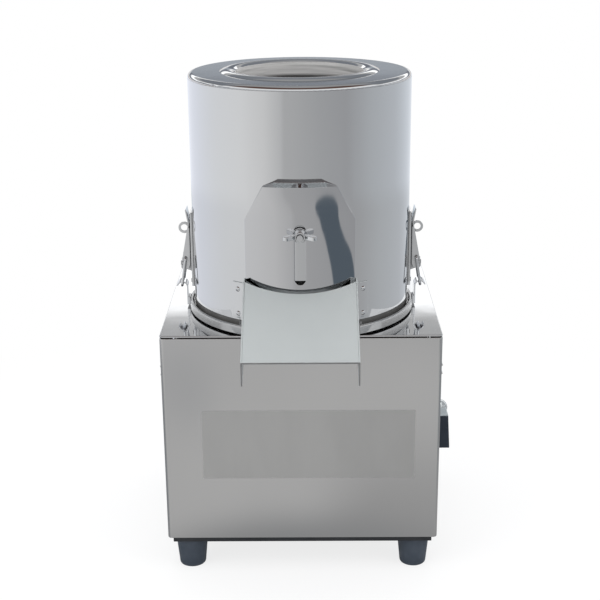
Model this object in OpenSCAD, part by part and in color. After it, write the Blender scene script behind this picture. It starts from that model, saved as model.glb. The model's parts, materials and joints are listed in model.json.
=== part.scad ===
// Bench-top vegetable chopper: a motor base, a clamped-on chopping drum and a gated front outlet.
// Millimetres, +Z up, front towards -Y. The origin is on the drum axis, on the table.

/* [Base] */
// Width of the motor base
base_w = 280; // [250:1:340]
// Distance from the drum axis to the front face
base_front = 100; // [96:1:110]
// Distance from the drum axis to the back face
base_back = 150; // [130:1:200]
// Height of the side and back panels
body_h = 221.5; // [210:0.5:280]
// Shadow gap between the front panel and the top plate
top_seam = 1; // [0.5:0.1:2]
// Thickness of the folded sheet
sheet_t = 1.5; // [1:0.1:2]
// Outer radius of the vertical folds
fold_r = 4; // [3:0.5:8]
// Thickness of the polished top plate
plate_t = 2; // [1.5:0.1:4]
// Width of the front and back panels' side returns
return_d = 20; // [14:1:30]
// Height of the sill that runs round the bottom
sill_h = 51; // [40:1:60]
// Visible seam between two panels
seam = 0.4; // [0.2:0.1:0.8]
// How far the bottom tray hangs below the panels
tray_drop = 5; // [3:0.5:8]
// Thickness of the bottom tray
tray_t = 2; // [1.5:0.1:3]
// How far the tray's hanging part stands in from the sides
tray_inset = 5.5; // [2:0.5:8]

/* [Feet] */
// Height of a rubber foot
foot_h = 34.5; // [25:0.5:45]
// Diameter of a foot at the top
foot_top_d = 34; // [30:0.5:40]
// Diameter of a foot at the bottom
foot_bottom_d = 27.5; // [24:0.5:30]
// Distance of a foot's centre from the base's edges
foot_inset = 23; // [20:0.5:30]

/* [Pan] */
// Outer diameter of the pan's rim
rim_d = 234; // [220:0.5:250]
// Thickness of the rim
rim_t = 4; // [3:0.1:4.2]
// Height of the rim
rim_h = 8.9; // [6:0.1:9]
// Gap between the top plate and the rim
rim_gap = 1.8; // [1.5:0.1:6]
// Width of the notch in the rim below the outlet
notch_w = 116; // [114:1:124]
// Thickness of the pan's floor
pan_t = 2; // [1.5:0.1:2.5]

/* [Drum] */
// Distance of the drum's wall inside the outside of the rim
rim_play = 5; // [4.5:0.1:6]
// Height of the drum
drum_h = 231; // [210:1:270]
// Wall of the drum
drum_t = 1.5; // [1:0.1:2]
// Height of the drum's lower edge above the top plate
drum_lift = 15; // [14:0.5:20]
// Radius of the drum's top edge
drum_edge_r = 5; // [3:0.5:10]
// Inner diameter of the feed throat
feed_d = 128; // [100:1:136]
// Length of the feed throat below the drum's top
feed_len = 60; // [30:1:80]
// Width of the rolled lip round the feed mouth
lip_w = 16; // [12:0.5:20]
// Height of the rolled lip
lip_h = 2.4; // [1.5:0.1:4]

/* [Outlet] */
// Width of the outlet in the drum wall
port_w = 98; // [80:1:100]
// Height of the outlet
port_h = 41; // [30:0.5:42]
// Height of the sill under the outlet
port_sill = 4; // [3:0.5:6]
// Width of the sliding gate
gate_w = 106; // [104:0.5:106]
// Thickness of the gate
gate_t = 1.5; // [1:0.1:2]
// Height of the gate up to its bent lip
gate_h = 135; // [125:1:150]
// Height of the gate's chamfered corners
gate_chamfer_h = 33; // [20:1:40]
// Width of a gate's chamfered corner
gate_chamfer_w = 17.5; // [10:0.5:25]
// Height and reach of the gate's bent lip
gate_lip = 6; // [4:0.5:9]
// How far the lip narrows towards its edge, on each side
gate_lip_taper = 13; // [4:0.5:20]
// Travel of the gate
gate_travel = 44; // [40:0.5:46]
// Width of the gate's slot
slot_w = 10.5; // [9:0.1:12]
// Height of the clamp stud above the drum's lower edge
stud_h = 91; // [88:0.5:95]
// Diameter of the clamp stud
stud_d = 6; // [5:0.5:8]
// Span of the wing nut
wing_span = 32; // [26:0.5:40]
// Outer width of the hood over the outlet
hood_w = 110.2; // [110.2:0.2:112]
// Slope of the hood
hood_pitch = 33.8; // [28:0.2:36]
// How far the hood's lip stands out from the drum
hood_reach = 75; // [60:1:90]
// Height of the hood's roof above the drum's lower edge, at the drum
hood_h = 40.3; // [36:0.1:44]
// Height of the hood's side flanges at the lip
hood_flange = 23.5; // [15:0.5:30]
// Thickness of the hood's sheet
hood_t = 1.5; // [1:0.1:1.5]
// Gap between the gate and the hood's upper edge
hood_gap = 6.5; // [2:0.1:8]
// Width of the tabs that hold the hood to the drum
hood_tab_w = 11; // [9:0.5:14]

/* [Latches] */
// Width of a latch's base plate
latch_w = 24; // [24:0.5:28]
// Thickness of a latch's base plate over the drum
latch_t = 2; // [1.5:0.1:2]
// Diameter of the bail's wire
wire_d = 2.8; // [2.2:0.1:2.8]
// Diameter of the lever's pivot pin
latch_pin_d = 4; // [3:0.1:4]
// Thickness of the lever's sheet
lever_t = 1.4; // [1:0.1:1.4]
// Width of the catch
catch_w = 14; // [10:0.5:14]

/* [Switch] */
// Depth of the switch block along the side
switch_d = 21; // [20:0.5:24]
// Height of the switch block
switch_h = 37.5; // [37:0.5:44]
// How far the block's upper edge stands out
switch_out_top = 13.2; // [12.5:0.1:16]
// How far the block's lower edge stands out
switch_out_bottom = 15.4; // [14:0.1:18]
// Half of the rocker's throw
rocker_tilt = 7; // [4:0.5:7]

/* [Drive] */
// Diameter of the spindle
shaft_d = 16; // [12:0.5:18]
// Play between the knives' tips and the drum's wall
knife_tip_play = 10.5; // [8:0.5:30]
// Width of a knife at its hub
knife_w = 26; // [20:1:30]
// Thickness of a knife
knife_t = 2.5; // [2:0.1:4]
// Distance between two knives
knife_gap = 15; // [10:0.5:20]
// Play between the paddle's tips and the drum's wall
paddle_tip_play = 8.5; // [6:0.5:30]
// Height of the paddle's vanes
paddle_h = 20; // [12:0.5:24]
// Outer diameter of the motor's housing
motor_d = 124; // [110:1:130]
// Length of the motor's housing
motor_len = 120; // [90:1:130]

/* [Hidden] */
$fn = 96;
// Segments of a large round face that a small plate seats on
fine = 360;
// Running clearance between a shaft and its bore
fit = 0.05;
// Overshoot of a cutting shape
over = 1;
// Small lap that joins two cutting shapes
nudge = 0.01;

// Levels, from the table up
body_z0 = foot_h + tray_drop;
body_z1 = body_z0 + body_h;
plate_z = body_z1 + plate_t;
sill_z = body_z0 + sill_h;
rim_z0 = plate_z + rim_gap;
rim_z1 = rim_z0 + rim_h;
pan_z = rim_z0 + pan_t;
drum_z0 = plate_z + drum_lift;
drum_z1 = drum_z0 + drum_h;
port_z0 = drum_z0 + port_sill;
stud_z = drum_z0 + stud_h;

// Radii
rim_r = rim_d / 2;
rim_ri = rim_r - rim_t;
drum_d = rim_d - 2 * rim_play;
drum_r = drum_d / 2;
drum_ri = drum_r - drum_t;
knife_d = 2 * (drum_ri - knife_tip_play);
paddle_d = 2 * (drum_ri - paddle_tip_play);
feed_r = feed_d / 2;
throat_t = 2;
throat_ro = feed_r + throat_t;
shaft_r = shaft_d / 2;
shaft_hole_play = 4;
shaft_hole_r = shaft_r + shaft_hole_play;
wire_r = wire_d / 2;

// Gate, which rides on the drum with a small clearance
gate_gap = 0.3;
// Height of the closed gate's edge above the drum's edge
gate_lift = 1.5;
gate_ri = drum_r + gate_gap;
gate_ro = gate_ri + gate_t;
gate_z0 = drum_z0 + gate_lift;
gate_z1 = gate_z0 + gate_h;
// Play between the stud and the slot's upper end
slot_play = 4;
// Play left at the other end when the gate is up
slot_end_play = 0.5;
slot_r = slot_w / 2;
// Drop of the bent lip's inner edge, which squares its end
gate_lip_square = 0.7;
slot_z1 = stud_z + slot_play;
slot_z0 = stud_z - gate_travel - slot_end_play;

// Hood
hood_x = hood_w / 2;
hood_lip_y = -drum_r - hood_reach;
hood_slope = tan(hood_pitch);
hood_tv = hood_t / cos(hood_pitch);
hood_edge_r = gate_ro + hood_gap;
// Where the roof's round edge meets the side flanges, which run level from there to the drum
flange_end_y = -sqrt(hood_edge_r * hood_edge_r - hood_x * hood_x);
tab_t = 1.2;
// Foot of the hood's side flanges: height above the drum's edge and depth into the drum's line
flange_lift = 1;
flange_in = 7;
tab_lift = 2;
tab_h = 37;
tab_z0 = drum_z0 + tab_lift;
tab_z1 = tab_z0 + tab_h;
// Height of a tab's rivets above its foot
tab_rivet_low = 5;
tab_rivet_high = 30;
tab_rivet_z = [tab_z0 + tab_rivet_low, tab_z0 + tab_rivet_high];
tab_rivet_r = 2.6;
tab_rivet_h = 1.3;
tab_rivet_shank_r = 1.5;

// Latch points as (distance from the drum axis, height); outlines further down use offsets from them
// Depth of a latch base's edges behind its middle, on the round drum
latch_sag = 2;
latch_face = drum_r + latch_t;
latch_pin_r = latch_pin_d / 2;
// The bail's crossbar, which stands off the rim under the hook
cross_out = 7.7;
cross_u = rim_r + cross_out;
// The bail's hole in the lever, inside the line from the pivot to the hook
bail_lean = 4.7;
bail_u = cross_u - bail_lean;
bail_in = 2.5;
pivot_u = bail_u + bail_in;
// Heights of the pivot above the drum's edge, of the bail's hole above the pivot, and of the bail
pivot_lift = 33;
bail_rise = 6;
bail_h = 30;
pivot_z = drum_z0 + pivot_lift;
bail_z = pivot_z + bail_rise;
cross_z = bail_z - bail_h;
// Room round the crossbar in the hook, and the drops of the hook's centre and of its lip
hook_play = 3.2;
hook_drop = 2.4;
hook_lip_drop = 1.2;
hook_ri = wire_r + hook_play;
hook_t = 1.5;
hook_u = cross_u + fit;
hook_z = cross_z - hook_drop;
hook_lip_z = cross_z - hook_lip_drop;
// Depth of the catch's back behind the rim's face, and its margin at the rim's edges
catch_sag = 2;
catch_margin = 0.5;
catch_z0 = rim_z0 + catch_margin;
catch_z1 = rim_z1 - catch_margin;
ear_y = 5;
ear_t = 1.5;
cheek_y = 7;
cheek_yo = cheek_y + lever_t;
bend_r = 2.6;
// Play between the bail's bend and the cheek
bend_play = 0.1;
bail_y = cheek_yo + bend_play + bend_r;
latch_lift = 9;
latch_len = 79;
latch_z0 = drum_z0 + latch_lift;
latch_z1 = latch_z0 + latch_len;
// Reach of the lever below and above its pivot, and of its finger tab
lever_low = 6.2;
lever_high = 38;
lever_tab = 58;
lever_z0 = pivot_z - lever_low;
lever_z1 = pivot_z + lever_high;
tab_tip_z = pivot_z + lever_tab;
eye_out = 7.2;
eye_rise = 36.5;
eye_u = latch_face + eye_out;
eye_z = pivot_z + eye_rise;
eye_r = 6;
eye_hole_r = 3.5;
eye_t = 2;
// How far the eye's neck is narrower than the eye, on each side
eye_neck = 0.8;
// Play of the eye in the lever's slot, on each side and above
eye_play = 0.7;
eye_play_up = 3.2;
// How far a part reaches into the plate that carries it
root = 0.5;
latch_rivet_y = 6;
latch_rivet_r = 2.2;
latch_rivet_h = 1;
latch_rivet_shank_r = 1.3;
latch_rivet_inset = 5;
latch_rivet_z = [latch_z0 + latch_rivet_inset, latch_z1 - latch_rivet_inset];

// Switch and overload reset on the right side
side_x = base_w / 2;
switch_set_back = 55.5;
switch_lift = 99.25;
switch_y = -base_front + switch_set_back;
switch_z = body_z0 + switch_lift;
switch_wall = 2.9;
switch_floor = 1.5;
switch_body_in = 22;
rocker_out = 6.8;
rocker_pivot_x = side_x + rocker_out;
rocker_pin_r = 1.5;
rocker_pin_cover = 0.7;
rocker_pin_half = switch_d / 2 - rocker_pin_cover;
rocker_gap = 0.2;
// Play beyond each end of the rocker and of its pin
rocker_end_gap = 1.2;
rocker_pin_play = 0.2;
reset_spacing = 33;
reset_rise = 9.25;
reset_y = switch_y + reset_spacing;
reset_z = switch_z + reset_rise;
reset_flange_r = 10.5;
reset_flange_t = 5;
reset_neck_r = 8;
reset_neck_len = 8;
button_r = 5;
button_in = 4;
button_out = 6;
boot_r = 9;
boot_t = 1;
boot_skirt = 3;

// Screws
screw_r = 1.6;
screw_head_r = 3.4;
screw_head_h = 1.8;
screw_len = 6;
screw_inset = 10;
back_screw_inset = 25;
foot_hole_r = 2.6;
foot_bore_r = 7;
foot_bore_h = 12;
foot_chamfer = 1;
foot_head_h = 4;
foot_head_play = 0.6;
foot_nut_r = 5;
foot_nut_h = 4;
foot_screw_past = 6;

// Cable gland at the lower left of the back
gland_x = -80;
gland_lift = 26;
gland_z = body_z0 + gland_lift;
gland_r = 8;
gland_bore_r = 3.6;
gland_in = 8;
gland_hex_out = 3;
gland_hex_r = gland_r + gland_hex_out;
gland_hex_h = 6;
gland_cone_h = 10;
gland_cone_in = 2;
gland_cone_r = gland_r - gland_cone_in;

// Side louvres
louvre_lift = 167;
louvre_pitch = 9;
louvre_z = [for (i = [0, 1]) body_z0 + louvre_lift + i * louvre_pitch];
louvre_h = 7;
louvre_out = 5;
// Height of a louvre's upright front
louvre_lip = 1.5;
louvre_set_back = 38;
louvre_y0 = -base_front + louvre_set_back;
louvre_len = 110;

// Drive stack, hung under the top plate
cap_t = 12;
cap_out = 8;
cap_r = motor_d / 2 + cap_out;
cap_top_z0 = body_z1 - cap_t;
motor_z0 = cap_top_z0 - motor_len;
cap_low_z0 = motor_z0 - cap_t;
motor_wall = 4;
bearing_w = 12;
bearing_r = shaft_r + bearing_w;
bearing_h = 9;
stator_w = 26;
rotor_r = motor_d / 2 - stator_w;
air_gap = 1;
// Room for the windings below and above the cores
winding_low = 22;
winding_high = 24;
core_z0 = motor_z0 + winding_low;
core_h = motor_len - winding_low - winding_high;
motor_stud_r = 2.5;
motor_stud_out = 4.5;
motor_stud_at = motor_d / 2 + motor_stud_out;
motor_nut_r = 4.6;
motor_nut_h = 4;
motor_stud_past = 5;
fan_h = 12;
// Play between the fan and the lower end cap
fan_play = 4;
fan_z0 = cap_low_z0 - fan_h - fan_play;
fan_d = 104;
fan_hub_w = 7;
fan_hub_r = shaft_r + fan_hub_w;
fan_blade_t = 2.4;
shaft_past = 4;
shaft_z0 = fan_z0 - shaft_past;
seal_w = 8;
seal_r = shaft_r + seal_w;
seal_seat_t = 4;
seal_seat_h = 4.5;
seal_seat_z1 = pan_z + seal_seat_h;
paddle_play = 0.5;
paddle_z0 = seal_seat_z1 + paddle_play;
hub_w = 8;
hub_r = shaft_r + hub_w;
spacer_in = 3;
spacer_r = hub_r - spacer_in;
vane_t = 4;
// Height of a hub's land above its vanes
hub_land = 0.5;
knife_z = [for (i = [0:2]) paddle_z0 + paddle_h + hub_land + i * (knife_gap + knife_t)];
nut_z = knife_z[2] + knife_t;
nut_hex_in = 1;
nut_hex_r = hub_r - nut_hex_in;
nut_hex_h = 7;
nut_cone_in = 2;
nut_cone_r = shaft_r - nut_cone_in;
// Depth of the spindle's end in the lock nut and height of the nut's cone
nut_bore = 6;
nut_cone_h = 12;
capacitor_r = 18;
capacitor_h = 60;
clip_t = 1.5;
clip_h = 14;
clip_foot = 12;
capacitor_inset = 45;
capacitor_set_in = 55;
capacitor_x = -side_x + capacitor_inset;
capacitor_y = base_back - capacitor_set_in;

STEEL = "gainsboro";
SATIN = "silver";
DARK = "dimgray";
BLACK = [0.12, 0.12, 0.13];

// Shared shapes

module rounded_rect(x0, y0, x1, y1, r) {
    translate([x0 + r, y0]) square([x1 - x0 - 2 * r, y1 - y0]);
    translate([x0, y0 + r]) square([x1 - x0, y1 - y0 - 2 * r]);
    for (x = [x0 + r, x1 - r], y = [y0 + r, y1 - r]) translate([x, y]) circle(r);
}

// The base's outline seen from above, drawn in from the outside by a margin
module footprint(margin) {
    rounded_rect(-side_x + margin, -base_front + margin, side_x - margin, base_back - margin,
        fold_r - margin);
}

module wall_ring(margin, t) {
    difference() {
        footprint(margin);
        footprint(margin + t);
    }
}

module tube(ri, ro, z0, z1) {
    translate([0, 0, z0]) difference() {
        cylinder(r = ro, h = z1 - z0);
        translate([0, 0, -over]) cylinder(r = ri, h = z1 - z0 + 2 * over);
    }
}

// Extrudes an outline drawn in (X, Z) through a thickness along Y, centred on y
module across(t, y = 0) {
    translate([0, y, 0]) rotate([90, 0, 0]) linear_extrude(t, center = true) children();
}

// Extrudes an outline drawn in (Y, Z) through a length along X, starting at x
module along_x(x, len) {
    translate([x, 0, 0]) rotate([90, 0, 90]) linear_extrude(len) children();
}

module pin_y(u, z, r, y0, y1) {
    translate([u, y1, z]) rotate([90, 0, 0]) cylinder(r = r, h = y1 - y0);
}

module pin_x(x0, x1, y, z, r) {
    translate([x0, y, z]) rotate([0, 90, 0]) cylinder(r = r, h = x1 - x0);
}

// A domed head of radius r and height h, along +X from x = 0
module domed_head(r, h) {
    dome_r = (r * r + h * h) / (2 * h);
    rotate([0, 90, 0]) rotate_extrude() intersection() {
        translate([0, h - dome_r]) circle(dome_r);
        square([r, h]);
    }
}

// A pan head with its shank, standing on the surface x = 0
module panel_screw() {
    domed_head(screw_head_r, screw_head_h);
    pin_x(-screw_len, 0, 0, 0, screw_r);
}

module on_drum(angle, z) {
    rotate([0, 0, angle]) translate([drum_r, 0, z]) children();
}

// Base panels

side_y0 = -base_front + return_d + seam;
side_y1 = base_back - return_d - seam;
side_screws = [for (y = [side_y0 + screw_inset, side_y1 - screw_inset],
    z = [sill_z + screw_inset, body_z1 - screw_inset]) [y, z]];
back_screws = [for (x = [-side_x + back_screw_inset, side_x - back_screw_inset],
    z = [sill_z + screw_inset, body_z1 - screw_inset]) [x, z]];

module front_panel() {
    color(SATIN) translate([0, 0, body_z0]) linear_extrude(body_h - top_seam) intersection() {
        wall_ring(0, sheet_t);
        translate([-side_x, -base_front]) square([base_w, return_d]);
    }
}

// Low band below the side and back panels, in three strips that end where those panels end
module sill_band() {
    color(SATIN) {
        for (m = [0, 1]) mirror([m, 0, 0]) translate([side_x - sheet_t, side_y0, body_z0])
            cube([sheet_t, side_y1 - side_y0, sill_h]);
        difference() {
            translate([0, 0, body_z0]) linear_extrude(sill_h) intersection() {
                wall_ring(0, sheet_t);
                translate([-side_x, base_back - return_d]) square([base_w, return_d]);
            }
            translate([gland_x, base_back + over, gland_z]) rotate([90, 0, 0])
                cylinder(r = gland_r, h = 2 * over + sheet_t);
        }
    }
}

// A pressed louvre, open on its lower side
module louvre(z, hollow) {
    depth = hollow ? sheet_t : 0;
    along = hollow ? 2 * sheet_t : 0;
    translate([0, louvre_y0 + along / 2, 0]) rotate([90, 0, 0]) mirror([0, 0, 1])
        linear_extrude(louvre_len - along)
        polygon([[side_x - sheet_t - (hollow ? over : 0), z - (hollow ? over : 0)],
            [side_x + louvre_out - depth, z - (hollow ? over : 0)],
            [side_x + louvre_out - depth, z + louvre_lip],
            [side_x - depth, z + louvre_h],
            [side_x - sheet_t - (hollow ? over : 0), z + louvre_h]]);
}

// A flat side sheet with its louvres, drawn on the right
module side_sheet() {
    difference() {
        union() {
            translate([side_x - sheet_t, side_y0, sill_z + seam])
                cube([sheet_t, side_y1 - side_y0, body_z1 - sill_z - seam]);
            for (z = louvre_z) louvre(z, false);
        }
        for (z = louvre_z) louvre(z, true);
        for (s = side_screws) pin_x(side_x - sheet_t - over, side_x + over, s[0], s[1], screw_r);
    }
}

module left_side_panel() {
    color(SATIN) mirror([1, 0, 0]) side_sheet();
}

module right_side_panel() {
    color(SATIN) difference() {
        side_sheet();
        translate([side_x - sheet_t - over, switch_y - switch_d / 2 + switch_wall,
            switch_z - switch_h / 2 + switch_wall])
            cube([sheet_t + 2 * over, switch_d - 2 * switch_wall, switch_h - 2 * switch_wall]);
        pin_x(side_x - sheet_t - over, side_x + over, reset_y, reset_z, reset_neck_r);
    }
}

module back_panel() {
    color(SATIN) difference() {
        translate([0, 0, sill_z + seam]) linear_extrude(body_z1 - sill_z - seam) intersection() {
            wall_ring(0, sheet_t);
            translate([-side_x, base_back - return_d]) square([base_w, return_d]);
        }
        for (s = back_screws) translate([s[0], base_back + over, s[1]]) rotate([90, 0, 0])
            cylinder(r = screw_r, h = sheet_t + 2 * over);
    }
}

module top_plate() {
    color(STEEL) difference() {
        translate([0, 0, body_z1]) linear_extrude(plate_t) footprint(0);
        translate([0, 0, body_z1 - over]) cylinder(r = shaft_hole_r, h = plate_t + 2 * over);
    }
}

feet_at = [for (x = [-side_x + foot_inset, side_x - foot_inset],
    y = [-base_front + foot_inset, base_back - foot_inset]) [x, y]];
// Air slots in the tray, in a row under the motor
tray_slot_pitch = 12;
tray_slot_w = 5;
tray_slot_len = 90;
tray_slots = [for (i = [-3:3]) i * tray_slot_pitch];
// Height of the tray's upturned edge inside the panels
tray_lip = 12;

// The tray's hanging part seen from above, drawn in by a margin
module tray_outline(margin) {
    translate([-side_x + tray_inset + margin, -base_front + sheet_t + margin])
        square([base_w - 2 * (tray_inset + margin), base_front + base_back - 2 * (sheet_t + margin)]);
}

// A shallow black tray, stepped in at the sides, with its edge turned up inside the panels
module bottom_tray() {
    color(BLACK) difference() {
        union() {
            translate([0, 0, foot_h]) linear_extrude(tray_drop + tray_t) tray_outline(0);
            translate([0, 0, body_z0]) linear_extrude(tray_t) footprint(sheet_t);
            translate([0, 0, body_z0]) linear_extrude(tray_lip) wall_ring(sheet_t, sheet_t);
        }
        translate([0, 0, foot_h + tray_t]) linear_extrude(tray_drop + over) tray_outline(tray_t);
        for (f = feet_at) translate([f[0], f[1], foot_h - over])
            cylinder(r = foot_hole_r, h = tray_t + 2 * over);
        for (x = tray_slots) translate([x - tray_slot_w / 2, -tray_slot_len / 2, foot_h - over])
            cube([tray_slot_w, tray_slot_len, tray_t + 2 * over]);
    }
}

module rubber_feet() {
    color(BLACK) for (f = feet_at) translate([f[0], f[1], 0]) rotate_extrude()
        polygon([[foot_bore_r, 0], [foot_bottom_d / 2 - foot_chamfer, 0], [foot_bottom_d / 2, foot_chamfer],
            [foot_top_d / 2, foot_h], [foot_hole_r, foot_h], [foot_hole_r, foot_bore_h],
            [foot_bore_r, foot_bore_h]]);
}

module foot_screws() {
    color(STEEL) for (f = feet_at) translate([f[0], f[1], 0]) {
        translate([0, 0, foot_bore_h - foot_head_h])
            cylinder(r = foot_bore_r - foot_head_play, h = foot_head_h);
        translate([0, 0, foot_bore_h])
            cylinder(r = foot_hole_r, h = foot_h + tray_t + foot_screw_past - foot_bore_h);
        translate([0, 0, foot_h + tray_t]) cylinder(r = foot_nut_r, h = foot_nut_h, $fn = 6);
    }
}

module panel_screws() {
    color(STEEL) {
        for (m = [0, 1], s = side_screws) mirror([m, 0, 0]) translate([side_x, s[0], s[1]]) panel_screw();
        for (s = back_screws) translate([s[0], base_back, s[1]]) rotate([0, 0, 90]) panel_screw();
    }
}

// Switch and overload reset

module switch_block() {
    color(BLACK) difference() {
        union() {
            across(switch_d, switch_y) polygon([[side_x, switch_z - switch_h / 2],
                [side_x + switch_out_bottom, switch_z - switch_h / 2],
                [side_x + switch_out_top, switch_z + switch_h / 2],
                [side_x, switch_z + switch_h / 2]]);
            translate([side_x - switch_body_in, switch_y - switch_d / 2 + switch_wall,
                switch_z - switch_h / 2 + switch_wall])
                cube([switch_body_in, switch_d - 2 * switch_wall, switch_h - 2 * switch_wall]);
        }
        translate([side_x + switch_floor, switch_y - switch_d / 2 + switch_wall,
            switch_z - switch_h / 2 + switch_wall])
            cube([switch_out_bottom, switch_d - 2 * switch_wall, switch_h - 2 * switch_wall]);
        pin_y(rocker_pivot_x, switch_z, rocker_pin_r + fit,
            switch_y - rocker_pin_half - rocker_pin_play, switch_y + rocker_pin_half + rocker_pin_play);
    }
}

// A shallow V-faced rocker, drawn with its lower end out
module switch_rocker() {
    half = switch_h / 2 - switch_wall - rocker_end_gap;
    // Its back, its edge, and the middle and the ends of its face, from the pivot
    back = -3.5;
    back_half = half - 6.6;
    edge = 2;
    middle = 3;
    end = 4.6;
    color(DARK) translate([rocker_pivot_x, switch_y, switch_z]) rotate([0, -rocker_tilt, 0]) {
        across(switch_d - 2 * switch_wall - 2 * rocker_gap)
            polygon([[back, -back_half], [edge, -half], [end, -half], [middle, 0], [end, half],
                [edge, half], [back, back_half]]);
        pin_y(0, 0, rocker_pin_r, -rocker_pin_half, rocker_pin_half);
    }
}

module reset_bushing() {
    color(DARK) difference() {
        union() {
            pin_x(side_x, side_x + reset_flange_t, reset_y, reset_z, reset_flange_r);
            pin_x(side_x - reset_neck_len, side_x, reset_y, reset_z, reset_neck_r);
        }
        pin_x(side_x - reset_neck_len - over, side_x + reset_flange_t + over, reset_y, reset_z,
            button_r + fit);
    }
}

module reset_button() {
    color("whitesmoke") pin_x(side_x - reset_neck_len - button_in, side_x + reset_flange_t + button_out,
        reset_y, reset_z, button_r);
}

// A clear dome over the button
module reset_boot() {
    color("whitesmoke") translate([side_x + reset_flange_t, reset_y, reset_z]) rotate([0, 90, 0])
        rotate_extrude() {
            translate([boot_r - boot_t, 0]) square([boot_t, boot_skirt]);
            translate([0, boot_skirt]) intersection() {
                difference() {
                    circle(boot_r);
                    circle(boot_r - boot_t);
                }
                square(boot_r);
            }
        }
}

module cable_gland() {
    color(BLACK) translate([gland_x, base_back, gland_z]) rotate([-90, 0, 0]) difference() {
        union() {
            translate([0, 0, -sheet_t - gland_in]) cylinder(r = gland_r, h = sheet_t + gland_in);
            cylinder(r = gland_hex_r, h = gland_hex_h, $fn = 6);
            translate([0, 0, gland_hex_h])
                cylinder(r1 = gland_r, r2 = gland_cone_r, h = gland_cone_h);
        }
        translate([0, 0, -sheet_t - gland_in - over]) cylinder(r = gland_bore_r,
            h = sheet_t + gland_in + gland_hex_h + gland_cone_h + 2 * over);
    }
}

// Pan and drum

// Ring that the pan stands on, inside the base's front edge
stand_ring_inset = 8;
stand_ring_r = base_front - stand_ring_inset;
stand_ring_w = 5;
// Play between the drum and the pan's notch
notch_play = 0.2;
// How far the drum's seal lies inside the drum's two faces
seal_lap_in = 3.5;
seal_lap_out = 0.8;
// Height of the shaft seal above the top plate
seal_lift = 1;

module pan() {
    color(STEEL) difference() {
        rotate_extrude() {
            // Floor
            translate([seal_r, rim_z0]) square([rim_r - rim_t / 2 - seal_r, pan_t]);
            // Rounded rim
            translate([rim_ri, rim_z0]) square([rim_t, rim_h - rim_t / 2]);
            translate([rim_r - rim_t / 2, rim_z1 - rim_t / 2]) circle(rim_t / 2);
            // Standing ring on the top plate
            translate([stand_ring_r, plate_z]) square([stand_ring_w, rim_gap]);
            // Seat of the shaft seal
            translate([seal_r, plate_z]) square([seal_seat_t, seal_seat_z1 - plate_z]);
        }
        // Notch below the outlet
        intersection() {
            tube(drum_r + notch_play, rim_r + over, rim_z0 - over, rim_z1 + over);
            translate([-notch_w / 2, -rim_r - over, rim_z0 - over])
                cube([notch_w, rim_r, rim_h + 2 * over]);
        }
    }
}

module drum_seal() {
    color(BLACK) tube(drum_ri - seal_lap_in, drum_r - seal_lap_out, pan_z, drum_z0);
}

module shaft_seal() {
    color(BLACK) tube(shaft_r + fit, seal_r, plate_z + seal_lift, seal_seat_z1);
}

module drum_shell() {
    color(STEEL) difference() {
        tube(drum_ri, drum_r, drum_z0, drum_z1 - drum_edge_r);
        translate([-port_w / 2, -drum_r - over, port_z0]) cube([port_w, drum_r, port_h]);
        translate([0, -drum_ri + over, stud_z]) rotate([90, 0, 0])
            cylinder(r = stud_d / 2, h = drum_t + 2 * over);
    }
}

// Pressed ring with a rounded edge, welded onto the drum's wall
module drum_top() {
    color(STEEL) rotate_extrude() {
        translate([drum_r - drum_edge_r, drum_z1 - drum_edge_r]) intersection() {
            difference() {
                circle(drum_edge_r);
                circle(drum_edge_r - drum_t);
            }
            square(drum_edge_r);
        }
        translate([throat_ro, drum_z1 - drum_t]) square([drum_r - drum_edge_r - throat_ro, drum_t]);
    }
}

module feed_throat() {
    lip_arc_r = (pow(lip_w / 2, 2) + pow(lip_h, 2)) / (2 * lip_h);
    color(STEEL) rotate_extrude() {
        translate([feed_r, drum_z1 - feed_len]) square([throat_t, feed_len]);
        intersection() {
            translate([feed_r + lip_w / 2, drum_z1 + lip_h - lip_arc_r]) circle(lip_arc_r, $fn = 180);
            translate([feed_r, drum_z1]) square([lip_w, lip_h]);
        }
    }
}

// Outlet hood, gate and gate clamp

function roof_z(y) = drum_z0 + hood_h + hood_slope * (y + drum_r);

module hood_flange_outline() {
    polygon([[hood_lip_y, roof_z(hood_lip_y)], [flange_end_y, roof_z(flange_end_y)],
        [-drum_r / 2, roof_z(flange_end_y)], [-drum_r / 2, drum_z0 + flange_lift],
        [-drum_r + flange_in, drum_z0 + flange_lift],
        [hood_lip_y, roof_z(hood_lip_y) - hood_flange]]);
}

module hood_tab() {
    intersection() {
        tube(drum_r, drum_r + tab_t, tab_z0, tab_z1);
        translate([hood_x - hood_t, -drum_r - over, tab_z0]) cube([hood_tab_w + hood_t, drum_r, drum_h]);
    }
}

module outlet_hood() {
    color(SATIN) {
        difference() {
            along_x(-hood_x, hood_w) polygon([[hood_lip_y, roof_z(hood_lip_y)],
                [-drum_r / 2, roof_z(-drum_r / 2)], [-drum_r / 2, roof_z(-drum_r / 2) - hood_tv],
                [hood_lip_y, roof_z(hood_lip_y) - hood_tv]]);
            translate([0, 0, drum_z0 - over]) cylinder(r = hood_edge_r, h = drum_h);
        }
        for (m = [0, 1]) mirror([m, 0, 0]) {
            difference() {
                along_x(hood_x - hood_t, hood_t) hood_flange_outline();
                translate([0, 0, drum_z0 - over]) cylinder(r = drum_r, h = drum_h);
            }
            difference() {
                hood_tab();
                for (z = tab_rivet_z) tab_rivet_place(z) pin_x(-over, tab_t + over, 0, 0, tab_rivet_shank_r);
            }
        }
    }
}

module tab_rivet_place(z) {
    angle = -90 + asin((hood_x + hood_tab_w / 2) / drum_r);
    on_drum(angle, z) children();
}

module hood_rivets() {
    color(STEEL) for (m = [0, 1], z = tab_rivet_z) mirror([m, 0, 0]) tab_rivet_place(z) {
        pin_x(fit, tab_t, 0, 0, tab_rivet_shank_r);
        translate([tab_t, 0, 0]) domed_head(tab_rivet_r, tab_rivet_h);
    }
}

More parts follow.
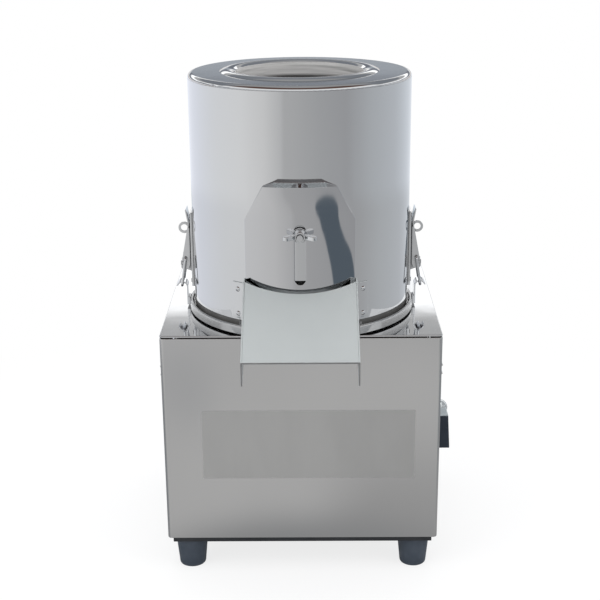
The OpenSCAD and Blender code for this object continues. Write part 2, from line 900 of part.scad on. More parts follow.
module gate_outline() {
    half = gate_w / 2;
    polygon([[-half, gate_z0], [half, gate_z0], [half, gate_z1 - gate_chamfer_h],
        [half - gate_chamfer_w, gate_z1], [-half + gate_chamfer_w, gate_z1],
        [-half, gate_z1 - gate_chamfer_h]]);
}

module gate() {
    lip_half = gate_w / 2 - gate_chamfer_w;
    depth = drum_r + gate_lip;
    color(STEEL) difference() {
        union() {
            intersection() {
                tube(gate_ri, gate_ro, gate_z0, gate_z1);
                across(depth, -depth) gate_outline();
            }
            // Lip bent out at 45 degrees
            intersection() {
                rotate_extrude() polygon([[gate_ri, gate_z1], [gate_ro, gate_z1],
                    [gate_ro + gate_lip, gate_z1 + gate_lip],
                    [gate_ri + gate_lip, gate_z1 + gate_lip + gate_lip_square]]);
                across(2 * depth, -depth) polygon([[-lip_half, gate_z1], [lip_half, gate_z1],
                    [lip_half, gate_z1 + gate_lip_square],
                    [lip_half - gate_lip_taper, gate_z1 + gate_lip + gate_lip_square],
                    [gate_lip_taper - lip_half, gate_z1 + gate_lip + gate_lip_square],
                    [-lip_half, gate_z1 + gate_lip_square]]);
            }
        }
        across(depth, -depth) {
            translate([-slot_r, slot_z0]) square([slot_w, slot_z1 - slot_z0]);
            for (z = [slot_z0, slot_z1]) translate([0, z]) circle(slot_r);
        }
    }
}

washer_gap = 0.3;
washer_y = -gate_ro - washer_gap;
washer_t = 1.6;
washer_out = 4.3;
nut_gap = 0.1;
nut_y = washer_y - washer_t - nut_gap;
wing_hub_len = 8;
wing_hub_wall = 2;
wing_hub_flare = 1.5;
wing_t = 4.2;
// Round ends of a wing, and their distances in front of the hub's foot
wing_root_r = 3.3;
wing_root_h = 3.8;
wing_tip_r = 3.2;
wing_tip_h = 10.8;
stud_head_t = 2;
stud_head_out = 3;
// Play between the stud's head and the drum
stud_head_play = 0.5;
// How far the stud stands out of the wing nut
stud_past = 3;

// Stud with a low head inside the drum
module gate_stud() {
    color(STEEL) {
        translate([0, -drum_ri + stud_head_play, stud_z]) rotate([90, 0, 0])
            cylinder(r = stud_d / 2, h = stud_head_play - drum_ri - nut_y + wing_hub_len + stud_past);
        translate([0, -drum_ri + stud_head_play + stud_head_t, stud_z]) rotate([90, 0, 0])
            cylinder(r = stud_d / 2 + stud_head_out, h = stud_head_t);
    }
}

module gate_washer() {
    color(STEEL) translate([0, washer_y, stud_z]) rotate([90, 0, 0])
        tube(stud_d / 2, stud_d / 2 + washer_out, 0, washer_t);
}

// Wing nut: a low hub with two rounded wings that sweep outwards and forwards
module wing_nut() {
    hub_ro = stud_d / 2 + wing_hub_wall;
    color(STEEL) translate([0, nut_y, stud_z]) rotate([90, 0, 0]) difference() {
        union() {
            cylinder(r1 = hub_ro + wing_hub_flare, r2 = hub_ro, h = wing_hub_len);
            for (s = [-1, 1]) rotate([90, 0, 0]) linear_extrude(wing_t, center = true) hull() {
                translate([s * hub_ro, wing_root_h]) circle(wing_root_r);
                translate([s * (wing_span / 2 - wing_tip_r), wing_tip_h]) circle(wing_tip_r);
            }
        }
        translate([0, 0, -over]) cylinder(r = stud_d / 2 + fit, h = wing_hub_len + 2 * over);
    }
}

// Toggle latches, drawn on the right and mirrored

module latch_base_shape() {
    difference() {
        union() {
            across(latch_w) translate([drum_r - latch_sag, latch_z0])
                square([latch_t + latch_sag, latch_z1 - latch_z0]);
            // Padlock eye, which stands through the lever
            across(eye_t) {
                translate([eye_u, eye_z]) circle(eye_r);
                translate([latch_face - root, eye_z - eye_r + eye_neck])
                    square([eye_u - latch_face + root, 2 * (eye_r - eye_neck)]);
            }
        }
        translate([0, 0, latch_z0 - over])
            cylinder(r = drum_r, h = latch_z1 - latch_z0 + 2 * over, $fn = fine);
        pin_y(eye_u, eye_z, eye_hole_r, -latch_w, latch_w);
        for (y = [-latch_rivet_y, latch_rivet_y], z = latch_rivet_z)
            pin_x(drum_r - latch_sag, latch_face + over, y, z, latch_rivet_shank_r);
    }
}

// Two ears, welded to the latch base, that carry the lever's pin
module latch_ears_shape() {
    // Half heights at the foot and at the shoulder, then the rounded nose in front of the pin
    foot = 9;
    shoulder = 7;
    crest = 3.2;
    nose = 3;
    nose_up = 2;
    nose_down = 2.2;
    ear = [[latch_face, pivot_z - foot], [latch_face, pivot_z + foot],
        [pivot_u - nose, pivot_z + shoulder], [pivot_u, pivot_z + crest],
        [pivot_u + nose, pivot_z + nose_up], [pivot_u + nose, pivot_z - nose_down],
        [pivot_u - nose, pivot_z - shoulder]];
    difference() {
        for (s = [-1, 1]) across(ear_t, s * (ear_y + ear_t / 2)) polygon(ear);
        pin_y(pivot_u, pivot_z, latch_pin_r, -latch_w, latch_w);
    }
}

module latch_pin_shape() {
    pin_y(pivot_u, pivot_z, latch_pin_r, -cheek_yo - bend_play, cheek_yo + bend_play);
}

// A channel lever: two cheeks, a sloping back and a flared finger tab
module lever_shape() {
    // The sloping back: how far it stands out at the pin and at its upper end
    back_u0 = pivot_u + 2.6;
    back_u1 = latch_face + 3.4;
    back_t = 1.5;
    back_z0 = pivot_z - 3;
    // The cheeks: play to the latch base, the heel beside the pin and the rounded toe
    cheek_u = latch_face + 1.2;
    heel_u = latch_face + 1.4;
    heel_up = 2;
    heel_down = 1.5;
    toe_in = 4.9;
    toe_out = 1;
    toe_nose = 2.4;
    toe_rise = 1.6;
    cheek = [[cheek_u, pivot_z + heel_up], [heel_u, pivot_z - heel_down], [pivot_u - toe_in, lever_z0],
        [pivot_u + toe_out, lever_z0], [pivot_u + toe_nose, lever_z0 + toe_rise], [back_u0, back_z0],
        [back_u1, lever_z1], [cheek_u, lever_z1]];
    // Outer face of the sloping back at a height
    function back_u(z) = back_u0 + (back_u1 - back_u0) * (z - back_z0) / (lever_z1 - back_z0);
    web_z0 = pivot_z + 11;
    // The finger tab: its bend above the cheeks and its flared tip
    bend_in = 0.6;
    bend_z = lever_z1 + 5;
    tip_out = latch_face + 5.2;
    tip_in = latch_face + 4;
    tip_slant = 1.5;
    difference() {
        union() {
            for (s = [-1, 1]) across(lever_t, s * (cheek_y + lever_t / 2)) polygon(cheek);
            across(2 * cheek_yo) polygon([[back_u(web_z0), web_z0], [back_u1, lever_z1],
                [back_u1 - bend_in, bend_z], [tip_out, tab_tip_z - tip_slant], [tip_in, tab_tip_z],
                [back_u1 - back_t - bend_in, bend_z], [back_u1 - back_t, lever_z1],
                [back_u(web_z0) - back_t, web_z0]]);
        }
        pin_y(pivot_u, pivot_z, latch_pin_r + fit, -latch_w, latch_w);
        pin_y(bail_u, bail_z, wire_r + fit, -latch_w, latch_w);
        // Slot for the padlock eye
        translate([latch_face, -eye_t / 2 - eye_play, eye_z - eye_r - eye_neck])
            cube([2 * eye_r, eye_t + 2 * eye_play, 2 * eye_r + eye_neck + eye_play_up]);
    }
}

// A quarter bend of the wire from +Y to +Z about the point (y, z)
module wire_bend(y, z, turn) {
    translate([0, y, z]) rotate([0, 0, 90]) rotate([90, 0, 0]) rotate([0, 0, turn])
        rotate_extrude(angle = 90) translate([bend_r, 0]) circle(wire_r);
}

// One bent wire, drawn hanging along +Z from its two ends in the lever
module bail_shape() {
    lean = atan2(cross_u - bail_u, bail_z - cross_z);
    len = norm([cross_u - bail_u, bail_z - cross_z]);
    straight_y = bail_y - bend_r;
    translate([bail_u, 0, bail_z]) rotate([0, 180 - lean, 0]) {
        for (m = [0, 1]) mirror([0, m, 0]) {
            pin_y(0, 0, wire_r, cheek_y - bend_play, straight_y);
            wire_bend(straight_y, bend_r, -90);
            translate([0, bail_y, bend_r]) cylinder(r = wire_r, h = len - 2 * bend_r);
            wire_bend(straight_y, len - bend_r, 0);
        }
        pin_y(0, len, wire_r, -straight_y, straight_y);
    }
}

// A strip riveted to the pan's rim, rolled over into a hook
module catch_shape() {
    strip_u = hook_u - hook_ri - hook_t;
    difference() {
        union() {
            across(catch_w) {
                difference() {
                    translate([hook_u, hook_z]) circle(hook_ri + hook_t);
                    translate([hook_u, hook_z]) circle(hook_ri);
                    translate([strip_u - over, hook_z - 2 * hook_ri])
                        square([hook_ri + hook_t + over, 2 * hook_ri]);
                    translate([hook_u - nudge, hook_z - 2 * hook_ri])
                        square([2 * hook_ri, 2 * hook_ri + hook_lip_z - hook_z]);
                }
                translate([strip_u, catch_z0]) square([hook_t, hook_z - catch_z0]);
                translate([rim_r - catch_sag, catch_z0])
                    square([strip_u - rim_r + catch_sag, catch_z1 - catch_z0]);
            }
        }
        translate([0, 0, rim_z0 - over]) cylinder(r = rim_r, h = rim_h + 2 * over, $fn = fine);
    }
}

module left_latch_base() { color(STEEL) mirror([1, 0, 0]) latch_base_shape(); }
module right_latch_base() { color(STEEL) latch_base_shape(); }
module left_latch_ears() { color(STEEL) mirror([1, 0, 0]) latch_ears_shape(); }
module right_latch_ears() { color(STEEL) latch_ears_shape(); }
module left_latch_pin() { color(DARK) mirror([1, 0, 0]) latch_pin_shape(); }
module right_latch_pin() { color(DARK) latch_pin_shape(); }
module left_lever() { color(STEEL) mirror([1, 0, 0]) lever_shape(); }
module right_lever() { color(STEEL) lever_shape(); }
module left_bail() { color(STEEL) mirror([1, 0, 0]) bail_shape(); }
module right_bail() { color(STEEL) bail_shape(); }
module left_catch() { color(STEEL) mirror([1, 0, 0]) catch_shape(); }
module right_catch() { color(STEEL) catch_shape(); }

module latch_rivets() {
    color(STEEL) for (m = [0, 1], y = [-latch_rivet_y, latch_rivet_y], z = latch_rivet_z)
        mirror([m, 0, 0]) {
            pin_x(drum_r, latch_face, y, z, latch_rivet_shank_r);
            pin_x(latch_face, latch_face + latch_rivet_h, y, z, latch_rivet_r);
        }
}

// Motor

module motor_housing() {
    color(DARK) tube(motor_d / 2 - motor_wall, motor_d / 2, motor_z0, cap_top_z0);
}

module stator_core() {
    color(DARK) tube(rotor_r + air_gap, motor_d / 2 - motor_wall, core_z0, core_z0 + core_h);
}

module end_cap(z, seat_z) {
    difference() {
        translate([0, 0, z]) cylinder(r = cap_r, h = cap_t);
        translate([0, 0, seat_z]) cylinder(r = bearing_r, h = bearing_h);
        translate([0, 0, z - over]) cylinder(r = shaft_hole_r, h = cap_t + 2 * over);
        for (a = [45:90:315]) rotate([0, 0, a]) translate([motor_stud_at, 0, z - over])
            cylinder(r = motor_stud_r, h = cap_t + 2 * over);
    }
}

module upper_end_cap() {
    color(SATIN) end_cap(cap_top_z0, cap_top_z0);
}

module lower_end_cap() {
    color(SATIN) end_cap(cap_low_z0, motor_z0 - bearing_h);
}

module upper_bearing() {
    color(STEEL) tube(shaft_r + fit, bearing_r, cap_top_z0, cap_top_z0 + bearing_h);
}

module lower_bearing() {
    color(STEEL) tube(shaft_r + fit, bearing_r, motor_z0 - bearing_h, motor_z0);
}

module motor_studs() {
    color(STEEL) for (a = [45:90:315]) rotate([0, 0, a]) translate([motor_stud_at, 0, 0]) {
        translate([0, 0, cap_low_z0 - motor_stud_past])
            cylinder(r = motor_stud_r, h = body_z1 - cap_low_z0 + motor_stud_past);
        translate([0, 0, cap_low_z0 - motor_nut_h]) difference() {
            cylinder(r = motor_nut_r, h = motor_nut_h, $fn = 6);
            translate([0, 0, -over]) cylinder(r = motor_stud_r, h = motor_nut_h + 2 * over);
        }
    }
}

module spindle() {
    color(STEEL) translate([0, 0, shaft_z0]) cylinder(r = shaft_r, h = nut_z + nut_bore - shaft_z0);
}

module rotor_core() {
    color(DARK) tube(shaft_r, rotor_r, core_z0, core_z0 + core_h);
}

module cooling_fan() {
    color(BLACK) {
        tube(shaft_r, fan_hub_r, fan_z0, fan_z0 + fan_h);
        for (a = [0:45:315]) rotate([0, 0, a]) translate([fan_hub_r - root, -fan_blade_t / 2, fan_z0])
            cube([fan_d / 2 - fan_hub_r, fan_blade_t, fan_h]);
    }
}

module capacitor() {
    color("whitesmoke") translate([capacitor_x, capacitor_y, foot_h + tray_t])
        cylinder(r = capacitor_r, h = capacitor_h);
}

module capacitor_clip() {
    color(STEEL) translate([capacitor_x, capacitor_y, foot_h + tray_t]) {
        tube(capacitor_r, capacitor_r + clip_t, 0, clip_h);
        translate([capacitor_r + root, -clip_foot / 2, 0]) cube([clip_foot, clip_foot, clip_t]);
    }
}

// Knife stack

module paddle() {
    color(STEEL) {
        tube(shaft_r, hub_r, paddle_z0, paddle_z0 + paddle_h + hub_land);
        for (a = [0, 180]) rotate([0, 0, a]) translate([hub_r - over, -vane_t / 2, paddle_z0])
            cube([paddle_d / 2 - hub_r, vane_t, paddle_h]);
    }
}

// A two-winged knife: a hub with a long lens-shaped blade
module knife_blade(i) {
    wing_r = (pow(knife_d / 2, 2) + pow(knife_w / 2, 2)) / knife_w;
    color(STEEL) translate([0, 0, knife_z[i]]) rotate([0, 0, 60 * i]) difference() {
        linear_extrude(knife_t) {
            circle(hub_r);
            intersection_for(s = [-1, 1]) translate([0, s * (wing_r - knife_w / 2)])
                circle(wing_r, $fn = fine);
        }
        translate([0, 0, -over]) cylinder(r = shaft_r, h = knife_t + 2 * over);
    }
}

module spacer_tube(i) {
    color(STEEL) tube(shaft_r, spacer_r, knife_z[i] + knife_t, knife_z[i + 1]);
}

module knife_1() { knife_blade(0); }
module knife_2() { knife_blade(1); }
module knife_3() { knife_blade(2); }
module knife_spacer_1() { spacer_tube(0); }
module knife_spacer_2() { spacer_tube(1); }

module lock_nut() {
    color(STEEL) difference() {
        union() {
            translate([0, 0, nut_z]) cylinder(r = nut_hex_r, h = nut_hex_h, $fn = 6);
            translate([0, 0, nut_z]) cylinder(r1 = spacer_r, r2 = nut_cone_r, h = nut_cone_h);
        }
        translate([0, 0, nut_z - over]) cylinder(r = shaft_r, h = nut_bore + over);
    }
}

front_panel();
sill_band();
left_side_panel();
right_side_panel();
back_panel();
top_plate();
bottom_tray();
rubber_feet();
foot_screws();
panel_screws();
switch_block();
switch_rocker();
reset_bushing();
reset_button();
reset_boot();
cable_gland();
pan();
drum_seal();
shaft_seal();
drum_shell();
drum_top();
feed_throat();
outlet_hood();
hood_rivets();
gate();
gate_stud();
gate_washer();
wing_nut();
left_latch_base();
right_latch_base();
left_latch_ears();
right_latch_ears();
left_latch_pin();
right_latch_pin();
left_lever();
right_lever();
left_bail();
right_bail();
left_catch();
right_catch();
latch_rivets();
motor_housing();
stator_core();
upper_end_cap();
lower_end_cap();
upper_bearing();
lower_bearing();
motor_studs();
spindle();
rotor_core();
cooling_fan();
capacitor();
capacitor_clip();
paddle();
knife_1();
knife_2();
knife_3();
knife_spacer_1();
knife_spacer_2();
lock_nut();
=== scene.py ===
"""Looks of a bench-top vegetable chopper: finishes, softened edges, a bare label film and a white studio."""
import json
import math

import bmesh
import bpy
from mathutils import Matrix, Vector, noise


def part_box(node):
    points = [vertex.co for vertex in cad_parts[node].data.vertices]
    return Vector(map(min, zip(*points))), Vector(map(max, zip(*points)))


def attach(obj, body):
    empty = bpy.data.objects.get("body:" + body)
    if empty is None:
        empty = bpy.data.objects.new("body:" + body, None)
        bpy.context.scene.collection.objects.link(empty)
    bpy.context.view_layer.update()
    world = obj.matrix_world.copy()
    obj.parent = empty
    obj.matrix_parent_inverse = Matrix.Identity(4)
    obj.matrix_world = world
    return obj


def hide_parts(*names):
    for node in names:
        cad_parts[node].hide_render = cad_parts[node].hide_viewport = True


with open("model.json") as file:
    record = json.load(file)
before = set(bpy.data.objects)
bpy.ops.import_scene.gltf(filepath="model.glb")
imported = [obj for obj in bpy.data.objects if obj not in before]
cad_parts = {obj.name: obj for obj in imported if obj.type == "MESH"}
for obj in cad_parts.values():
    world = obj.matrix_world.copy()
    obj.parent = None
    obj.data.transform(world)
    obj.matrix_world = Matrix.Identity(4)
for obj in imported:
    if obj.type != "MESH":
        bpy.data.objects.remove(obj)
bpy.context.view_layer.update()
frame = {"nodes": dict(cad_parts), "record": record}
nodes = frame["nodes"]
slot_of = {part["node"]: part["material_slot"] for part in frame["record"]["subparts"]}
bodies = frame["record"]["behaviour"]["bodies"]
body_of = {node: body for body, members in bodies.items() for node in members}

MM = 0.001

# Camera, at the photograph's view in its 600 x 600 frame
FRAME_PX = 600
FOCAL_PX = 1216.6
SENSOR_MM = 36.0
CAMERA_AT = Vector((0.0084, -1.2265, 0.6693))
PITCH = math.radians(18.154)
YAW = math.radians(-0.454)
ROLL = math.radians(-0.458)


def make_camera():
    """Places the camera by its pitch, yaw and roll."""
    forward = Vector((math.sin(YAW) * math.cos(PITCH), math.cos(YAW) * math.cos(PITCH), -math.sin(PITCH)))
    level = Vector((math.cos(YAW), -math.sin(YAW), 0.0))
    upright = level.cross(forward)
    right = level * math.cos(ROLL) + upright * math.sin(ROLL)
    up = upright * math.cos(ROLL) - level * math.sin(ROLL)
    data = bpy.data.cameras.new("camera")
    data.sensor_width = SENSOR_MM
    data.lens = SENSOR_MM * FOCAL_PX / FRAME_PX
    camera = bpy.data.objects.new("camera", data)
    turn = Matrix((right, up, -forward)).transposed()
    camera.matrix_world = Matrix.Translation(CAMERA_AT) @ turn.to_4x4()
    bpy.context.scene.collection.objects.link(camera)
    bpy.context.scene.camera = camera


# Shader helpers

UNROLL_R = 0.1
FINE_DETAIL = 3.0
BROAD_DETAIL = 5.0
BROAD_LOW = 0.3
BROAD_HIGH = 0.7
# Painted shade: the dark colour that ambient occlusion lays into corners and creases
CORNER_SHADE = (0.05, 0.05, 0.055, 1.0)
CORNER_SHADE_SAMPLES = 6
CORNER_SHADE_STARTS = 0.85
CORNER_SHADE_FULL = 0.3


def add(tree, kind, inputs=None, **properties):
    """Adds a shader node, sets its properties, and sets or links its inputs by name or number."""
    made = tree.nodes.new("ShaderNode" + kind)
    for key, value in properties.items():
        setattr(made, key, value)
    for key, value in (inputs or {}).items():
        feed(tree, made.inputs[key], value)
    return made


def feed(tree, socket, value):
    """Links a socket to another's output, or sets its value."""
    if isinstance(value, bpy.types.NodeSocket):
        tree.links.new(value, socket)
    else:
        socket.default_value = value


def math_node(tree, operation, *values):
    """A Math node's output."""
    return add(tree, "Math", dict(enumerate(values)), operation=operation).outputs[0]


def window(tree, value, low, high):
    """0 below low, 1 above high, and smooth between; the other way round where low is above high."""
    return add(tree, "MapRange", {"Value": value, "From Min": low, "From Max": high},
        interpolation_type="SMOOTHSTEP").outputs["Result"]


def ramp(tree, factor, stops):
    """A colour ramp's output. stops are (place, colour) pairs, and a colour may be one grey level."""
    made = add(tree, "ValToRGB", {"Fac": factor})
    elements = made.color_ramp.elements
    while len(elements) < len(stops):
        elements.new(0.5)
    for element, (place, colour) in zip(elements, stops):
        levels = colour if isinstance(colour, tuple) else (colour, colour, colour)
        element.position = place
        element.color = (*levels, 1.0)
    return made.outputs["Color"]


def blended(tree, factor, first, second):
    """Two colours mixed by a factor."""
    mix = add(tree, "MixRGB", {"Fac": factor})
    feed(tree, mix.inputs["Color1"], first)
    feed(tree, mix.inputs["Color2"], second)
    return mix.outputs["Color"]


def straight(tree):
    """The point on the object, in metres."""
    return add(tree, "TexCoord").outputs["Object"]


def polar(tree):
    """Turn from -Y round the vertical axis, distance from it, and height, of the point on the object."""
    split = add(tree, "SeparateXYZ", {0: straight(tree)}).outputs
    x, y, z = split["X"], split["Y"], split["Z"]
    turn = math_node(tree, "ARCTAN2", x, math_node(tree, "MULTIPLY", y, -1.0))
    squares = math_node(tree, "ADD", math_node(tree, "MULTIPLY", x, x), math_node(tree, "MULTIPLY", y, y))
    return turn, math_node(tree, "SQRT", squares), z


def unrolled(tree):
    """The point unrolled round the vertical axis, as (arc, distance, height), with its seam at the back."""
    turn, distance, z = polar(tree)
    arc = math_node(tree, "MULTIPLY", turn, UNROLL_R)
    return add(tree, "CombineXYZ", {0: arc, 1: distance, 2: z}).outputs[0]


def noise_level(tree, point, stretch, detail=FINE_DETAIL):
    """Noise from 0 to 1, with stretch as the number of blots to the metre along each axis."""
    placed = add(tree, "Mapping", {"Vector": point, "Scale": stretch}).outputs["Vector"]
    return add(tree, "TexNoise", {"Vector": placed, "Scale": 1.0, "Detail": detail}).outputs["Fac"]


def surface(name, colours, roughness, blots, bumps, metallic=0.0, lay=straight, scratches=None, shade=None,
        corner_shade=None, **sockets):
    """A finish. A broad noise of so many blots to the metre moves its colour and roughness between two
    levels, scratches are (stretch, depth of roughness), and bumps are (stretch, depth in metres) pairs.
    shade is (colour, low, high): painted shade, the colour below the height low, which fades out at high.
    corner_shade is the width in metres of the painted shade that ambient occlusion lays in its corners."""
    material = bpy.data.materials.new(name)
    material.use_nodes = True
    tree = material.node_tree
    shader = tree.nodes["Principled BSDF"]
    point = lay(tree)
    broad = noise_level(tree, point, blots, BROAD_DETAIL)
    colour = ramp(tree, broad, [(BROAD_LOW, colours[0]), (BROAD_HIGH, colours[1])])
    # Painted shade: the colour turns dark below a height
    if shade:
        height = add(tree, "SeparateXYZ", {0: straight(tree)}).outputs["Z"]
        colour = blended(tree, window(tree, height, shade[2], shade[1]), colour, shade[0])
    # Painted shade in corners and creases, from ambient occlusion
    if corner_shade:
        open_sky = add(tree, "AmbientOcclusion", {"Distance": corner_shade}, samples=CORNER_SHADE_SAMPLES).outputs["AO"]
        colour = blended(tree, window(tree, open_sky, CORNER_SHADE_STARTS, CORNER_SHADE_FULL), colour, CORNER_SHADE)
    feed(tree, shader.inputs["Base Color"], colour)
    smear = add(tree, "MapRange", {"Value": broad, "From Min": BROAD_LOW, "From Max": BROAD_HIGH,
        "To Min": roughness[1], "To Max": roughness[0]}).outputs["Result"]
    if scratches:
        fine = noise_level(tree, point, scratches[0])
        smear = math_node(tree, "MULTIPLY_ADD", fine, scratches[1], smear)
    feed(tree, shader.inputs["Roughness"], smear)
    shader.inputs["Metallic"].default_value = metallic
    normal = None
    for stretch, depth in bumps:
        bump = add(tree, "Bump", {"Height": noise_level(tree, point, stretch), "Strength": 1.0,
            "Distance": depth})
        if normal:
            tree.links.new(normal, bump.inputs["Normal"])
        normal = bump.outputs["Normal"]
    if normal:
        feed(tree, shader.inputs["Normal"], normal)
    for key, value in sockets.items():
        shader.inputs[key.replace("_", " ")].default_value = value
    return material


# Finishes, one for each material slot, with variants for some pieces and faces

WAVES = ((7, 7, 7), 0.00018)
SHEET_WAVES = ((5, 5, 9), 0.00012)
GRAIN_ALONG_X = ((6, 900, 900), 0.02)
GRAIN_ROUND = ((14, 900, 900), 0.02)
FINE_GRAIN = ((1400, 1400, 1400), 0.00002)

STEEL = ((0.65, 0.66, 0.675), (0.71, 0.72, 0.73))
GATE_STEEL = ((0.58, 0.585, 0.60), (0.615, 0.62, 0.635))
HOOD_STEEL = ((0.455, 0.485, 0.49), (0.495, 0.525, 0.53))
PAN_STEEL = ((0.47, 0.475, 0.48), (0.53, 0.535, 0.54))
# Darker steel for the hood's front edges: painted shade
SHADED_EDGE_STEEL = ((0.27, 0.27, 0.275), (0.34, 0.34, 0.345))
SATIN = ((0.605, 0.605, 0.605), (0.645, 0.645, 0.645))
SHEET = (4, 4, 1.5)
ROLLED = (6, 6, 2.5)
# Painted shade deep in the throat: its inner wall turns dark below THROAT_DARK_Z, fading in over THROAT_FADE
THROAT_SHADE = (0.09, 0.09, 0.09, 1.0)
THROAT_FADE = 4.0 * MM
THROAT_LIT = 13.0 * MM
THROAT_DARK_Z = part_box("feed_throat")[1].z - THROAT_LIT
# Width of the painted shade in the fittings' corners
CORNER_SHADE_W = 4.0 * MM

finishes = {
    "polished_steel": surface("polished_steel", STEEL, (0.02, 0.05), (18, 18, 18), [WAVES], 1.0,
        scratches=GRAIN_ALONG_X),
    # Fittings, with painted shade in their corners
    "fitting_steel": surface("fitting_steel", STEEL, (0.03, 0.08), (60, 60, 60), [], 1.0, corner_shade=CORNER_SHADE_W),
    # Painted shade on the hood's front edges, which lie in shadow
    "shaded_edge": surface("shaded_edge", SHADED_EDGE_STEEL, (0.3, 0.4), (60, 60, 60), [], 1.0),
    "polished_round": surface("polished_round", STEEL, (0.02, 0.06), ROLLED, [WAVES], 1.0, unrolled,
        scratches=GRAIN_ROUND),
    "gate_steel": surface("gate_steel", GATE_STEEL, (0.02, 0.04), ROLLED, [WAVES], 1.0, unrolled,
        scratches=GRAIN_ROUND),
    "pan_steel": surface("pan_steel", PAN_STEEL, (0.06, 0.12), ROLLED, [WAVES], 0.8, unrolled,
        scratches=GRAIN_ROUND),
    "hood_steel": surface("hood_steel", HOOD_STEEL, (0.34, 0.44), (9, 9, 9), [SHEET_WAVES], 0.35,
        scratches=GRAIN_ALONG_X),
    "throat_inside": surface("throat_inside", ((0.33, 0.33, 0.33), (0.92, 0.91, 0.90)), (0.28, 0.42),
        (9, 9, 210), [], 0.3, shade=(THROAT_SHADE, THROAT_DARK_Z - THROAT_FADE, THROAT_DARK_Z)),
    "satin_steel": surface("satin_steel", SATIN, (0.17, 0.24), SHEET, [SHEET_WAVES], 1.0,
        scratches=GRAIN_ALONG_X),
    "machined_steel": surface("machined_steel", SATIN, (0.18, 0.28), (60, 60, 60), [], 1.0, unrolled,
        scratches=GRAIN_ROUND),
    "black_rubber": surface("black_rubber", ((0.034, 0.047, 0.066), (0.05, 0.064, 0.086)), (0.42, 0.6),
        (60, 60, 60), [FINE_GRAIN]),
    "seal_rubber": surface("seal_rubber", ((0.075, 0.075, 0.074), (0.105, 0.104, 0.102)), (0.42, 0.6),
        (60, 60, 60), [FINE_GRAIN]),
    "black_plastic": surface("black_plastic", ((0.009, 0.017, 0.031), (0.014, 0.023, 0.039)), (0.2, 0.28),
        (80, 80, 80), [FINE_GRAIN], Coat_Weight=0.15, Coat_Roughness=0.1, Specular_IOR_Level=0.35),
    "grey_plastic": surface("grey_plastic", ((0.34, 0.385, 0.41), (0.41, 0.455, 0.48)), (0.3, 0.4),
        (80, 80, 80), [FINE_GRAIN]),
    "black_paint": surface("black_paint", ((0.012, 0.014, 0.017), (0.02, 0.022, 0.026)), (0.35, 0.5),
        (40, 40, 40), [((500, 500, 500), 0.00003)]),
    "clear_plastic": surface("clear_plastic", ((0.92, 0.94, 0.95), (0.95, 0.97, 0.98)), (0.02, 0.05),
        (80, 80, 80), [((200, 200, 200), 0.00001)], Transmission_Weight=0.95, IOR=1.15),
    "white_plastic": surface("white_plastic", ((0.7, 0.71, 0.72), (0.78, 0.79, 0.79)), (0.35, 0.5),
        (50, 50, 50), [FINE_GRAIN]),
    "dark_iron": surface("dark_iron", ((0.05, 0.05, 0.052), (0.09, 0.088, 0.085)), (0.4, 0.6),
        (70, 70, 70), [((4, 4, 1800), 0.0002)], 0.7),
    "cast_aluminium": surface("cast_aluminium", ((0.5, 0.5, 0.51), (0.58, 0.58, 0.59)), (0.4, 0.55),
        (50, 50, 50), [((500, 500, 500), 0.0001)], 1.0),
}
ROUND_NODES = {"drum_shell", "drum_top", "feed_throat"}
OWN_FINISH = {"gate": "gate_steel", "outlet_hood": "hood_steel", "pan": "pan_steel",
    "drum_seal": "seal_rubber"}
FITTINGS = {"wing_nut", "gate_stud", "gate_washer", "hood_rivets", "latch_rivets", "left_latch_base",
    "right_latch_base", "left_latch_ears", "right_latch_ears", "left_latch_pin", "right_latch_pin",
    "left_lever", "right_lever", "left_bail", "right_bail", "left_catch", "right_catch"}


def finish_of(node):
    """The finish for a node: its own variant, or the one of its slot in the record."""
    if node in OWN_FINISH:
        return finishes[OWN_FINISH[node]]
    if node in ROUND_NODES:
        return finishes["polished_round"]
    if node in FITTINGS:
        return finishes["fitting_steel"]
    return finishes[slot_of[node]]


# Faces of a node that take another finish than the rest of it

DRUM_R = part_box("drum_shell")[1].x
TAB_T = 2.5 * MM
THROAT_R = 65.0 * MM
UPRIGHT = 0.3
FRONTWARD = 0.5


def in_throat(face):
    """Whether a face is on the throat's inner wall."""
    middle = face.calc_center_median()
    return math.hypot(middle.x, middle.y) < THROAT_R and abs(face.normal.z) < UPRIGHT


def on_drum(face):
    """Whether a face is on one of the hood's tabs, which lie round the drum."""
    middle = face.calc_center_median()
    return math.hypot(middle.x, middle.y) < DRUM_R + TAB_T and abs(face.normal.z) < UPRIGHT


def on_front_edge(face):
    """Whether a face is on an upright edge that faces the front."""
    return face.normal.y < -FRONTWARD and abs(face.normal.z) < UPRIGHT


def on_bevel(face):
    """Whether a face is on the sloping top of the switch block."""
    return face.normal.z > UPRIGHT


OTHER_FACES = {
    "feed_throat": [(in_throat, "throat_inside")],
    # The hood's front edges take a darker steel as painted shade
    "outlet_hood": [(on_front_edge, "shaded_edge"), (on_drum, "polished_round")],
    # The switch block's upward faces are grey, lighter than its black sides: painted light on its lit top
    "switch_block": [(on_bevel, "grey_plastic")],
}

# Pieces with softened edges

WELD = 1e-6
FLAT = math.radians(0.2)
CREASE = math.radians(28)
SMOOTH = math.radians(40)
# Width of the rounding in millimetres
EDGE = {
    "front_panel": 0.7, "left_side_panel": 0.4, "right_side_panel": 0.4, "back_panel": 0.4, "sill_band": 0.4,
    "top_plate": 0.8, "bottom_tray": 0.4, "rubber_feet": 0.8, "switch_block": 0.7, "switch_rocker": 0.5,
    "reset_bushing": 0.5, "cable_gland": 0.5, "pan": 0.3, "drum_shell": 0.25, "drum_top": 0.25,
    "feed_throat": 0.3, "outlet_hood": 0.3, "gate": 0.45, "gate_stud": 0.4, "gate_washer": 0.3,
    "wing_nut": 0.5, "left_latch_base": 0.3, "right_latch_base": 0.3, "left_latch_ears": 0.25,
    "right_latch_ears": 0.25, "left_lever": 0.25, "right_lever": 0.25, "left_catch": 0.25,
    "right_catch": 0.25, "lock_nut": 0.5, "paddle": 0.4, "left_latch_pin": 0.3, "right_latch_pin": 0.3,
}


